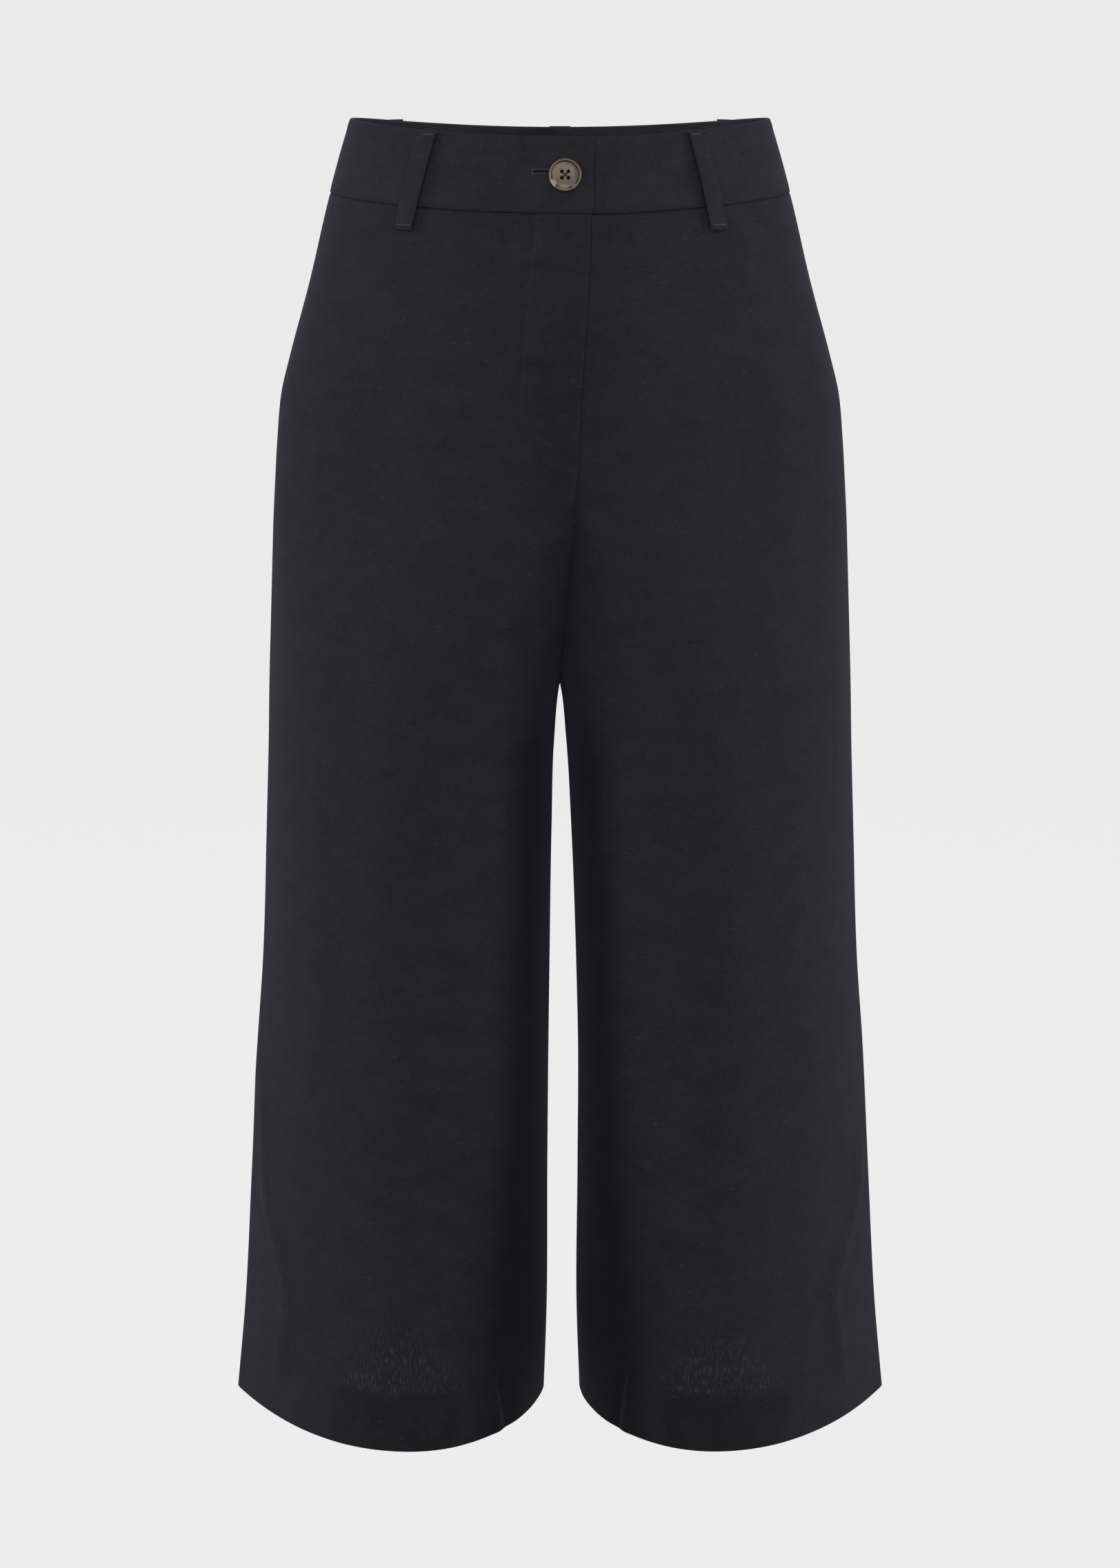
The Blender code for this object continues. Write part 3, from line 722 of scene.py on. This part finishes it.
def addLegPanel(node, side, back):
    g = garment
    face = "back" if back else "front"
    columns, rows = panelColumns(face), panelRows()
    across, z = np.meshgrid(columns, rows)
    dip = g["seamDip"] * np.cos(across * np.pi / 2) ** 2
    top = np.clip((z - g["dipEnds"]) / (g["seamSide"] - g["dipEnds"]), 0.0, 1.0)
    skin = legSkin(across, z - dip * top, side, back)
    middle = np.array([side * section(g["crotch"], "peak"), 0.0, g["crotch"]])
    normals = outwardNormals(skin, middle)
    x, y, height = skin[..., 0], skin[..., 1], skin[..., 2]
    width = arcLength(skin, 1)
    fromSide = width[:, -1:] - width

    lift = slack(x, y, height) * step(width, 0.0, 25 * mm) * step(fromSide, 0.0, 12 * mm)
    ease = step(width, 0.0, 6 * mm) * step(fromSide, 0.0, 7 * mm) * step(g["seamSide"] - z, 0.0, 4 * mm)
    lift = lift + foldHeight(x, height, face, side) * ease
    shows, paintedShading, paintedLightMask = hemFields(x, height, face)
    hemLine = g["hem"] + panel["hemDepth"]
    lift = lift + (0.3 * mm * step(hemLine - z, 0.0, 2 * mm) - 0.5 * mm * bump(z, hemLine, 1.0 * mm)) * shows

    between = step(z, g["crotch"] - 30 * mm, g["crotch"])  # 1 above the crotch, 0 along the inseam
    plainSeam = between * (1.0 if back else 1 - step(z, fly["ends"] - 18 * mm, fly["ends"]))
    roll = panel["seamRoll"] * bump(width, 0.0, panel["seamWidth"])
    skin[..., 1] += (-1 if back else 1) * roll * plainSeam * np.clip(np.abs(y) / (30 * mm), 0, 1)
    lift = lift - roll * (1 - between) - panel["seamRoll"] * bump(fromSide, 0.0, panel["seamWidth"])
    lift = lift - panel["seamRoll"] * bump(z, g["seamSide"], 0.9 * mm)
    # painted shade along the waist seam and the side seam
    paintedShading = paintedShading * (1 - panel["seamShade"] * bump(z, g["seamSide"], 0.6 * mm))
    paintedShading = paintedShading * (1 - panel["seamShade"] * bump(fromSide, 0.0, 0.6 * mm))
    # painted shade over the inner side of each leg
    paintedShading = paintedShading * (1 - panel["inseamShade"] * (1 - between) * (1 - step(width, *panel["inseamWidth"])))
    if not back:
        lift = lift + flyLift(x, height, width, side)

    outer = skin + normals * lift[..., None]
    thick = panel["wall"] + (panel["hemWall"] - panel["wall"]) * step(hemLine - z, -0.3 * mm, 0.3 * mm)
    radius = panel["hemWall"] / 2
    rise = np.clip((z - g["hem"]) / radius, 0.0, 1.0)
    rounding = radius * (1 - np.sqrt(1 - (1 - rise) ** 2))  # quarter circle round the hem's folded edge
    facing = outwardNormals(outer, middle)
    inner = keepClear(outer - facing * (thick - rounding)[..., None], side, back)
    outer = keepClear(outer - facing * rounding[..., None], side, back)
    uv = np.stack([(1.3 if back else 0.0) + side * (0.5 - fromSide), height], -1)
    piece = addWall(node + "_cloth", outer, inner, uv, {"paintedShading": paintedShading, "paintedLightMask": paintedLightMask})
    finishPiece(piece, clothMaterial, node)
    print(node, "flat", round(float(width[:, -1].mean()), 3), round(float(abs(height[0, 0] - g["hem"])), 3))
    return makeSurface(columns, -rows, outer, middle)


panels = {}
for side, hand in ((-1, "right"), (1, "left")):
    for back, face in ((False, "front"), (True, "back")):
        panels[f"{face}_{hand}"] = addLegPanel(f"{face}_{hand}", side, back)


band = {
    "wall": 2.0 * mm,
    "proud": 0.4 * mm,
    "underlap": 34.0 * mm,
    "lapOver": 1.6 * mm,    # its lapped end stands past the fly's edge
    "clearance": 0.3 * mm,
    "rows": 50,
    "edge": 0.9 * mm,       # radius of the folded edges
    "endEdge": 0.4 * mm,    # and of the lapped end, which is pressed flatter
    "stitchFromSeam": 1.8 * mm,
    "depth": 44.0 * mm,
    "insidePaintedLight": 1.6,      # painted light: the inside faces are made this much paler
}


def bandHeight(turn, down):
    # down goes from the waistband's top edge, 0, to its seam, 1; both dip as cos^2 of the turn
    g = garment
    dip = np.cos(turn) ** 2
    top = g["waistSide"] - g["waistDip"] * dip
    return top + (g["seamSide"] - g["seamDip"] * dip + g["visibleGap"] - top) * down


def bandRows():
    close = np.array([0.0, 0.002, 0.005, 0.011, 0.02])
    return np.concatenate([close, np.linspace(0.034, 0.966, band["rows"]), 1 - close[::-1]])


def addBand(node, turns, tucked=0, roundEnd=False):
    face = "bandFront" if "front" in node else "bandBack"
    turn, down = np.meshgrid(turns, bandRows())
    skin = waistSkin(turn, bandHeight(turn, down))
    middle = np.array([0.0, 0.0, garment["seamSide"]])
    normals = outwardNormals(skin, middle)
    depth = np.full(len(turns), band["proud"])
    depth[:tucked] -= band["wall"] + band["clearance"]
    length, width = arcLength(skin, 0), arcLength(skin, 1)
    total, span = length[-1:], width[:, -1:]

    def rounding(away, radius):
        # a quarter circle of the edge's radius, falling away to the edge
        near = np.clip(away / radius, 0.0, 1.0)
        return radius * (1 - np.sqrt(1 - (1 - near) ** 2))

    tuck = np.maximum(rounding(length, band["edge"]), rounding(total - length, band["edge"]))
    if roundEnd:
        tuck = np.maximum(tuck, rounding(span - width, band["endEdge"]))
    quilt = foldHeight(skin[..., 0], skin[..., 2], face)
    for away, ease in ((length, 5), (total - length, 5), (width, 8), (span - width, 5)):
        quilt = quilt * step(away, 0.0, ease * mm)
    quilt[:, :tucked] = 0.0
    crest = 0.25 * mm * bump(length, 4.2 * mm, 1.8 * mm)  # the edge turned in along the top
    stitched = 0.4 * mm * bump(total - length, band["stitchFromSeam"], 0.7 * mm)
    # painted shade along the waist seam
    paintedShading = 1 - panel["seamShade"] * bump(total - length, 0.0, 0.6 * mm)
    outer = skin + normals * (depth[None, :] - tuck + quilt + crest - stitched)[..., None]
    inner = skin + normals * (depth[None, :] - band["wall"] + tuck + quilt)[..., None]
    half = garment["visibleGap"] / 2
    for points in (outer, inner):
        points[..., 1] = np.maximum(np.abs(points[..., 1]), half) * np.sign(skin[5, 5, 1])
    uv = np.stack([width + bandPlaces[node], -length], -1)
    fields = {"paintedShading": paintedShading, "paintedLightMask": 0 * turn}
    # painted light on the waistband's inside faces
    piece = addWall(node + "_cloth", outer, inner, uv, fields, band["insidePaintedLight"])
    finishPiece(piece, bandMaterial, node)
    print(node, "flat", round(float(span.mean()), 3), round(float(total.mean()), 3))
    return makeSurface(turns, bandRows(), outer, middle)


# where each piece of the waistband lies along the cloth it was cut from, so that its weave is its own
bandPlaces = {"waistband_front_right": 2.0, "waistband_front_left": 2.6, "waistband_back": 3.2}

quarterTurn = np.pi / 2
waistWidth = section(0.0, "halfWidth")
halfGap = garment["visibleGap"] / 2 / waistWidth
under = band["underlap"] / waistWidth
over = band["lapOver"] / waistWidth
lap = np.concatenate([np.linspace(-under, over - 0.006, 40),
                      over - np.array([0.004, 0.0022, 0.001, 0.0004, 0.0])])
right = np.concatenate([np.linspace(-quarterTurn + halfGap, -under, 110)[:-1], lap])
left = np.concatenate([lap, over + np.array([0.0008, 0.0016, 0.005]),
                       np.linspace(over + 0.012, quarterTurn - halfGap, 120)])
bands = {
    "right": addBand("waistband_front_right", right, roundEnd=True),
    "left": addBand("waistband_front_left", left, tucked=len(lap)),
    "back": addBand("waistband_back", np.linspace(quarterTurn + halfGap, 3 * quarterTurn - halfGap, 220)),
}


shield = {
    "edges": (-26.0 * mm, 12.0 * mm),
    "below": 0.3 * mm,      # under the waistband
    "setIn": 2.0 * mm,
    "wall": 1.0 * mm,
}


def addFlyShield():
    # the strip behind the fly, a plain wall set in from both panels
    turn, down = np.meshgrid(np.linspace(*shield["edges"], 20), np.linspace(0.0, 1.0, 50))
    top = garment["seamSide"] - garment["seamDip"] - shield["below"]
    z = top + (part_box("fly_shield")[0].z - top) * down
    skin = waistSkin(np.arcsin(turn / section(z, "halfWidth")), z)
    normals = outwardNormals(skin, np.array([0.0, 0.0, z[-1, 0]]))
    outer = skin - normals * shield["setIn"]
    inner = outer - normals * shield["wall"]
    fields = {"paintedShading": np.ones(turn.shape), "paintedLightMask": 0 * turn}
    piece = addWall("fly_shield_cloth", outer, inner, np.stack([turn + 3.0, z], -1), fields)
    finishPiece(piece, clothMaterial, "fly_shield")


addFlyShield()

loops = {
    "angles": {             # degrees round the waist from the centre front, at the top and at the bottom
        "belt_loop_front_right": (-37.4, -39.7),
        "belt_loop_front_left": (37.6, 40.0),
        "belt_loop_back_right": (-128.0, -126.0),
        "belt_loop_back_left": (128.0, 126.0),
        "belt_loop_back_centre": (180.0, 180.0),
    },
    "width": 11.6 * mm,
    "wall": 1.4 * mm,
    "bottom": -60.0 * mm,
    "clearance": 0.7 * mm,
    "stand": 1.6 * mm,      # slack for a belt
    "fold": 0.55 * mm,      # the ends are turned under, so they stand thicker
    "foldLength": 6.5 * mm,
    "tackFromEnd": 2.9 * mm,
    "tackHeight": 1.9 * mm,
}


def addBeltLoop(node, topAngle, bottomAngle):
    down = np.concatenate([[0.0, 0.003, 0.008, 0.015], np.linspace(0.025, 0.975, 70),
                           [0.985, 0.992, 0.997, 1.0]])
    turn = np.radians(topAngle + (bottomAngle - topAngle) * down)
    top = bandHeight(turn[0], 0.0)
    z = top + (loops["bottom"] - top) * down
    radius = np.hypot(section(z, "halfWidth"), section(z, "front")) / np.sqrt(2)
    share = np.sin(np.linspace(-np.pi / 2, np.pi / 2, 25)) / 2
    across, spread = np.meshgrid(share, loops["width"] / radius)
    skin = waistSkin(turn[:, None] + across * spread, np.repeat(z[:, None], len(share), axis=1))
    middle = np.array([0.0, 0.0, loops["bottom"]])
    normals = outwardNormals(skin, middle)
    run = arcLength(skin, 0)
    fromEnd = np.minimum(run, run[-1:] - run)
    side = (0.5 - np.abs(across)) * loops["width"]
    stand = loops["clearance"] + loops["stand"] * np.sin(np.pi * down)[:, None] ** 0.6
    tuck = 0.7 * mm * (1 - np.sqrt(1 - (1 - np.clip(np.minimum(side, fromEnd) / (0.7 * mm), 0, 1)) ** 2))
    thick = loops["fold"] * (1 - step(fromEnd, loops["foldLength"] - mm, loops["foldLength"] + mm))
    pressed = 0.6 * mm * bump(fromEnd, loops["tackFromEnd"], 1.3 * mm) * step(side, 0.0, 1.2 * mm)
    dome = 0.25 * mm * np.cos(np.pi * across)
    inner = skin + normals * (stand + tuck)[..., None]
    outer = skin + normals * (stand + loops["wall"] + dome + thick - pressed - tuck)[..., None]
    uv = np.stack([across * loops["width"] + 4.0, z[:, None] + 0 * across], -1)
    fields = {"paintedShading": np.ones(across.shape), "paintedLightMask": 0 * across}
    piece = addWall(node + "_cloth", outer, inner, uv, fields)
    finishPiece(piece, bandMaterial, node)

    surface = makeSurface(share, down, outer, middle)
    tacks = []
    towardsFront = -np.sign(topAngle)
    for end, reachBack in ((loops["tackFromEnd"], 0.1), (float(run[-1].mean()) - loops["tackFromEnd"], 0.36)):
        columns = np.linspace(-reachBack, 0.4, 24) * towardsFront
        low, high = ((end + shift * loops["tackHeight"] / 2) / float(run[-1].mean()) for shift in (-1, 1))
        starts = onSurface(surface, columns, np.full(len(columns), low))
        ends = onSurface(surface, columns + 0.012, np.full(len(columns), high))
        tacks.append((starts[0], ends[0], starts[1]))
    addStitches(node + "_bartacks", tacks, *stitches["bartack"], tackMaterial, "band_linen")


for node, angles in loops["angles"].items():
    addBeltLoop(node, *angles)
print("belt loops ready")


def addStitching():
    # edge stitching round the waistband just above its seam, and the curved line that holds the fly
    edge = []
    for surface in bands.values():
        turns = surface["u"][surface["u"] > surface["u"][0] + 0.002]
        if surface is bands["left"]:
            turns = turns[turns > over + 0.02]
        down = np.full(len(turns), 1 - band["stitchFromSeam"] / band["depth"])
        edge.append(stitchesAlong(surface, turns, down, stitches["edgePitch"], stitches["share"]))
    addStitches("waistband_edge_stitching", edge, *stitches["edge"], threadMaterial, "band_linen")

    path = smoothPath(fly["stitching"], 200)
    surface = panels["front_right"]
    u = acrossAt(surface, path[:, 0], -path[:, 1], -1)
    curve = stitchesAlong(surface, u, -path[:, 1], stitches["flyPitch"], stitches["share"])
    addStitches("fly_stitching", [curve], *stitches["fly"], flyThreadMaterial, "linen")


addStitching()

button = {
    "radius": 9.5,          # mm, as all of these
    "profile": ((0.0, 2.25), (3.0, 2.25), (5.5, 2.35), (7.0, 2.5), (7.5, 2.48), (7.75, 2.25), (7.95, 2.2),
                (8.15, 2.35), (8.35, 2.75), (8.6, 3.02), (8.85, 3.1), (9.1, 3.0), (9.33, 2.7), (9.46, 2.3),
                (9.5, 1.8), (9.42, 1.3), (9.2, 0.85), (8.6, 0.4), (7.0, 0.1), (0.0, 0.0)),
    "segments": 96,
    "holePitch": 3.7,
    "holeRadius": 1.12,
    "thread": 0.55,
    "x": 3.0,
    "z": -27.0,
    "lift": 1.0,            # clear of the waistband's surface
}


def turned(profile, segments):
    # a profile of (radius, height) turned about its own axis; its two ends close on the axis
    rings = np.array(profile[1:-1]) * mm
    turn = np.linspace(0, 2 * np.pi, segments, endpoint=False)
    radius, height = rings[:, :1], rings[:, 1:] + 0 * turn
    points = np.stack([radius * np.cos(turn), radius * np.sin(turn), height], -1).reshape(-1, 3)
    points = np.concatenate([points, [(0, 0, profile[0][1] * mm), (0, 0, profile[-1][1] * mm)]])
    ids = np.arange(len(rings) * segments).reshape(-1, segments)
    after = np.roll(ids, -1, axis=1)
    faces = np.stack([ids[:-1], ids[1:], after[1:], after[:-1]], -1).reshape(-1, 4).tolist()
    ends = np.full(segments, len(points) - 2)
    faces += np.stack([ends, ids[0], after[0]], -1).tolist()
    faces += np.stack([ends + 1, after[-1], ids[-1]], -1).tolist()
    return points, faces


def addButton():
    # turned disc with a raised rim, drilled by four pins and laid against the waistband's slope
    disc = addMesh("button_horn", *turned(button["profile"], button["segments"]))
    near = button["holePitch"] / 2 * mm
    centres = [(x * near, y * near) for x in (-1, 1) for y in (-1, 1)]
    pins = []
    for x, y in centres:
        radius = button["holeRadius"]
        points, faces = turned(((0, 6), (radius, 6), (radius, -3), (0, -3)), 28)
        pins.append(addMesh("pin", points + np.array([x, y, 0.0]), faces))
        cut = disc.modifiers.new("hole", "BOOLEAN")
        cut.operation = "DIFFERENCE"
        cut.object = pins[-1]
    bpy.context.view_layer.update()
    drilled = bpy.data.meshes.new_from_object(disc.evaluated_get(bpy.context.evaluated_depsgraph_get()))
    disc.modifiers.clear()
    disc.data = drilled
    for pin in pins:
        bpy.data.objects.remove(pin)

    z = button["z"] * mm
    front, rise = section(z, "front"), section(0.0, "front")
    lean = np.arctan2(front - rise, -z)
    up, along = np.cos(np.pi / 2 - lean), np.sin(np.pi / 2 - lean)
    turnUp = np.array([[1, 0, 0], [0, up, -along], [0, along, up]])
    place = np.array([button["x"] * mm, -front - button["lift"] * mm, z])
    points = np.empty(len(drilled.vertices) * 3)
    drilled.vertices.foreach_get("co", points)
    drilled.vertices.foreach_set("co", (points.reshape(-1, 3) @ turnUp.T + place).ravel())
    drilled.shade_smooth()
    drilled.set_sharp_from_angle(angle=np.radians(38))
    drilled.materials.clear()
    finishPiece(disc, hornMaterial, "button")

    # two strands cross between the holes, and sink into them at both ends
    ends = np.array([(x, y, 1.9 * mm) for x, y in centres])
    begin = np.array([(0.25, 0, 0), (0.25, 0, 0), (-0.1, 0.25, 0), (-0.1, -0.25, 0)]) * mm
    finish = np.array([(0.1, -0.25, 0), (0.1, 0.25, 0), (-0.25, 0, 0), (-0.25, 0, 0)]) * mm
    starts, stops = ends[[0, 1, 0, 1]] + begin, ends[[3, 2, 3, 2]] + finish
    normals = np.tile([0.0, 0.0, 1.0], (4, 1))
    strands = [(starts @ turnUp.T + place, stops @ turnUp.T + place, normals @ turnUp.T)]
    addStitches("button_thread", strands, button["thread"] * mm, 0.85 * mm, buttonThreadMaterial, "horn")


addButton()

buttonhole = {
    "inner": -16.0 * mm,    # its open end, beside the button
    "outer": 6.0 * mm,      # the end that the button hides
    "height": -25.0 * mm,
    "bite": 1.5 * mm,       # length of each stitch
    "pitch": 0.42 * mm,
    "slit": 0.7 * mm,
}


def bandAt(surface, x, z):
    # turn and share down the waistband of points given by x and height
    turn = acrossBand(surface, x)
    top, bottom = bandHeight(turn, 0.0), bandHeight(turn, 1.0)
    return turn, (top - z) / (top - bottom)


def acrossBand(surface, x):
    row = surface["points"][len(surface["v"]) // 2, :, 0]
    return np.interp(x, row, surface["u"])


def addButtonhole():
    # a slit between two rows of close stitches, with a bar of them across each end; the slit is a near-black
    # strip of painted shadow
    b = buttonhole
    surface = bands["right"]
    x = np.arange(b["inner"], b["outer"], b["pitch"])
    rows = []
    for hand in (-1, 1):
        inside = b["height"] + hand * b["slit"] / 2
        outside = b["height"] + hand * (b["slit"] / 2 + b["bite"])
        starts = onSurface(surface, *bandAt(surface, x, np.full(len(x), inside)))
        ends = onSurface(surface, *bandAt(surface, x, np.full(len(x), outside)))
        rows.append((starts[0], ends[0], starts[1]))
    bar = np.linspace(-1, 1, 9) * (b["slit"] / 2 + b["bite"]) + b["height"]
    for place in (b["inner"], b["outer"]):
        starts = onSurface(surface, *bandAt(surface, np.full(len(bar), place - 0.9 * mm), bar))
        ends = onSurface(surface, *bandAt(surface, np.full(len(bar), place + 0.7 * mm), bar))
        rows.append((starts[0], ends[0], starts[1]))
    addStitches("buttonhole_stitching", rows, *stitches["buttonhole"], tackMaterial, "band_linen")

    # the near-black strip of painted shadow in the slit
    share, run = np.meshgrid(np.linspace(-0.5, 0.5, 4), np.linspace(b["inner"], b["outer"], 24))
    height = b["height"] + share * b["slit"] * 1.6
    points, normals = onSurface(surface, *bandAt(surface, run.ravel(), height.ravel()))
    outer = (points + normals * 0.12 * mm).reshape(*run.shape, 3)
    inner = (points - normals * 0.3 * mm).reshape(*run.shape, 3)
    slit = addWall("buttonhole_slit_painted_shadow", outer, inner, np.stack([run, share], -1))
    finishPiece(slit, paintedSlitShadowMaterial)


addButtonhole()
print("button and stitching ready")

studio = {
    "distance": 2.75,
    "height": 0.08,
    "pitch": 10.0,
    "lens": 103.6,
    "floor": -1.0,
    "wall": 6.0,
    "sweep": 1.2,            # radius of the bend between floor and wall
    "wallHeight": 5.0,
    "paper": "ececec",
    "paperGlow": 0.955,      # evenly lit paper, which shows no shadow worth seeing
    "air": 0.44,
    # name: place, aim, width and height in metres, watts
    "lights": {
        "KeySoftbox": ((-0.5, -2.9, 1.3), (0, 0, -0.35), (2.2, 1.4), 21),
        "FillSoftbox": ((0.6, -2.9, 0.2), (0, 0, -0.4), (2.0, 2.0), 16),
        "SideLeft": ((-2.4, 0.1, 0.4), (0, 0, -0.3), (0.8, 1.8), 27),
        "SideRight": ((2.4, 0.1, 0.4), (0, 0, -0.3), (0.8, 1.8), 27),
        "BackSoftbox": ((0.0, 2.6, 1.2), (0, 0, -0.4), (2.4, 1.4), 14),
    },
}


def addCamera():
    camera = bpy.data.objects.new("Camera", bpy.data.cameras.new("Camera"))
    bpy.context.scene.collection.objects.link(camera)
    camera.location = (0.0, -studio["distance"], studio["height"])
    camera.rotation_euler = (np.radians(90 - studio["pitch"]), 0.0, 0.0)
    camera.data.lens = studio["lens"]
    bpy.context.scene.camera = camera


def addFloor():
    # floor that bends up into a wall: a profile of floor, quarter circle and wall, turned round the middle
    bend = np.linspace(0.0, np.pi / 2, 16)
    reach = studio["wall"] + studio["sweep"] * np.concatenate([np.sin(bend), [1.0]])
    rise = studio["sweep"] * (1 - np.cos(bend))
    radius = np.concatenate([[0.5, studio["wall"] / 2], reach])[:, None]
    z = np.concatenate([[0.0, 0.0], rise, [studio["wallHeight"]]])[:, None] + studio["floor"]
    turn = np.linspace(0.0, 2 * np.pi, 96, endpoint=False)
    points = np.stack([radius * np.cos(turn), radius * np.sin(turn), z + 0 * turn], -1).reshape(-1, 3)
    grid = np.arange(len(points)).reshape(-1, len(turn))
    grid = np.concatenate([grid, grid[:, :1]], 1)
    middle = np.array([[0.0, 0.0, studio["floor"]]])
    hub = np.stack([grid[0, :-1], grid[0, 1:], np.full(len(turn), len(points))], -1)
    faces = gridFaces(grid) + hub.tolist()
    floor = addMesh("Floor", np.concatenate([points, middle]), faces)
    material, _, shader = newMaterial("Paper_sweep_pale", "404040", 0.95, 1.5)
    shader.inputs["Specular IOR Level"].default_value = 0.0
    shader.inputs["Emission Color"].default_value = linear(studio["paper"])
    shader.inputs["Emission Strength"].default_value = studio["paperGlow"]
    floor.data.materials.append(material)
    floor.visible_diffuse = False
    floor.visible_glossy = False


def addLights():
    for name, (place, aim, size, power) in studio["lights"].items():
        light = bpy.data.objects.new(name, bpy.data.lights.new(name, "AREA"))
        light.data.shape = "RECTANGLE"
        light.data.size, light.data.size_y = size
        light.data.energy = power
        bpy.context.scene.collection.objects.link(light)
        light.location = place
        light.rotation_euler = (Vector(aim) - Vector(place)).to_track_quat("-Z", "Y").to_euler()


def addWorld():
    world = bpy.data.worlds.new("Studio")
    world.use_nodes = True
    background = world.node_tree.nodes["Background"]
    background.inputs["Color"].default_value = linear("ffffff")
    background.inputs["Strength"].default_value = studio["air"]
    bpy.context.scene.world = world


addCamera()
addFloor()
addWorld()
addLights()
bpy.context.scene.view_settings.view_transform = "Standard"
print("stage ready")
